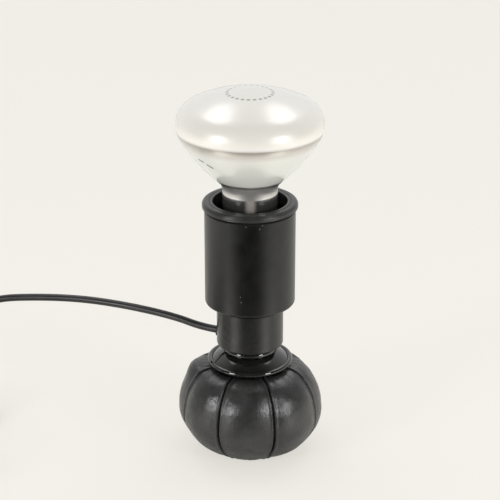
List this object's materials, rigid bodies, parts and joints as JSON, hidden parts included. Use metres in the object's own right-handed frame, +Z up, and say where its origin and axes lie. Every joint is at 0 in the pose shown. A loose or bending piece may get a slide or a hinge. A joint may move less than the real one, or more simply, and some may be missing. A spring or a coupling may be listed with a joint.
{
  "type": "table lamp",
  "caption": "Small table lamp: reflector bulb standing in a tubular cup on a narrower stem, on a pumpkin-shaped leather bag of shot that lets it lean any way.",
  "frame": {"origin": "on the table, under the middle of the leather bag", "axes": "+Z up along the stem and bulb, -Y towards the front, the cord leaves towards -X and a little back"},
  "size_m": [0.2674, 0.1501, 0.2104],
  "materials": {
    "bag_leather": "black grained leather, soft sheen",
    "lead_shot": "packed lead pellets",
    "plated_steel": "zinc plated",
    "gloss_lacquer": "black gloss lacquer",
    "satin_lacquer": "black satin lacquer",
    "grommet_rubber": "matt",
    "cord_sheath": "smooth black sheath",
    "porcelain": "white glaze",
    "brass_parts": "stamped",
    "brown_wire": "insulated",
    "blue_wire": "insulated",
    "bulb_glass": "satin inside, pearl white dome",
    "bulb_mirror": "silvered",
    "clear_glass": "clear",
    "cap_metal": "rolled",
    "cap_insulator": "black vitrified",
    "solder": "dull",
    "tungsten": "wire",
    "switch_plastic": "moulded",
    "plug_plastic": "moulded",
    "pin_metal": "nickel plated"
  },
  "bodies": {
    "base": {"leather_bag": "bag_leather", "bag_bottom_patch": "bag_leather", "cord_free_stretch": "cord_sheath", "cord_switch_stretch": "cord_sheath", "cord_plug_stretch": "cord_sheath", "cord_coil": "cord_sheath", "switch_lower_shell": "switch_plastic", "switch_upper_shell": "switch_plastic", "rocker_axle": "plated_steel", "switch_contacts": "brass_parts", "switch_screws": "plated_steel", "plug_body": "plug_plastic", "plug_pins": "pin_metal", "plug_strain_relief": "plug_plastic"},
    "shot": {"shot_fill": "lead_shot"},
    "lamp": {"bag_clamp_plate": "plated_steel", "threaded_rod": "plated_steel", "lower_rod_nut": "plated_steel", "rod_washer": "plated_steel", "upper_rod_nut": "plated_steel", "collar_disc": "gloss_lacquer", "neck_ring": "gloss_lacquer", "stem_tube": "satin_lacquer", "cord_grommet": "grommet_rubber", "cord_sheath_end": "cord_sheath", "cord_stop": "brass_parts", "cup_tube": "satin_lacquer", "rim_ring": "satin_lacquer", "lampholder_body": "porcelain", "holder_ring_nut": "plated_steel", "screw_shell": "brass_parts", "centre_contact": "brass_parts", "shell_strap": "brass_parts", "terminal_blocks": "brass_parts", "contact_rivets": "brass_parts", "terminal_screws": "plated_steel", "live_wire": "brown_wire", "neutral_wire": "blue_wire"},
    "bulb_lift": {"bulb_contact_pip": "solder"},
    "bulb": {"bulb_glass": "bulb_glass", "bulb_silvering": "bulb_mirror", "bulb_cap_shell": "cap_metal", "bulb_cap_insulator": "cap_insulator", "bulb_glass_mount": "clear_glass", "filament_leads": "tungsten", "filament": "tungsten"},
    "rocker": {"switch_rocker": "switch_plastic"}
  },
  "joints": [
    {"name": "lean_sideways", "type": "hinge", "parent": "base", "child": "shot", "pos_m": [0, 0, 0.024], "axis": [0, 1, 0], "range_deg": [-25, 25], "deforming": ["leather_bag", "shot_fill", "cord_free_stretch"]},
    {"name": "lean_forward", "type": "hinge", "parent": "shot", "child": "lamp", "pos_m": [0, 0, 0.024], "axis": [1, 0, 0], "range_deg": [-25, 25]},
    {"name": "bulb_rise", "type": "slide", "parent": "lamp", "child": "bulb_lift", "axis": [0, 0, 1], "range_m": [0, 0.01452]},
    {"name": "bulb_turn", "type": "hinge", "parent": "bulb_lift", "child": "bulb", "pos_m": [0, 0, 0.11], "axis": [0, 0, 1], "range_deg": [0, 1440]},
    {"name": "switch_rock", "type": "hinge", "parent": "base", "child": "rocker", "pos_m": [-0.218, -0.002, 0.0083], "axis": [1, 0, 0], "range_deg": [0, 18]}
  ],
  "couplings": [
    {"joint": "bulb_rise", "follows": "bulb_turn", "m_per_rad": 0.00057757}
  ]
}
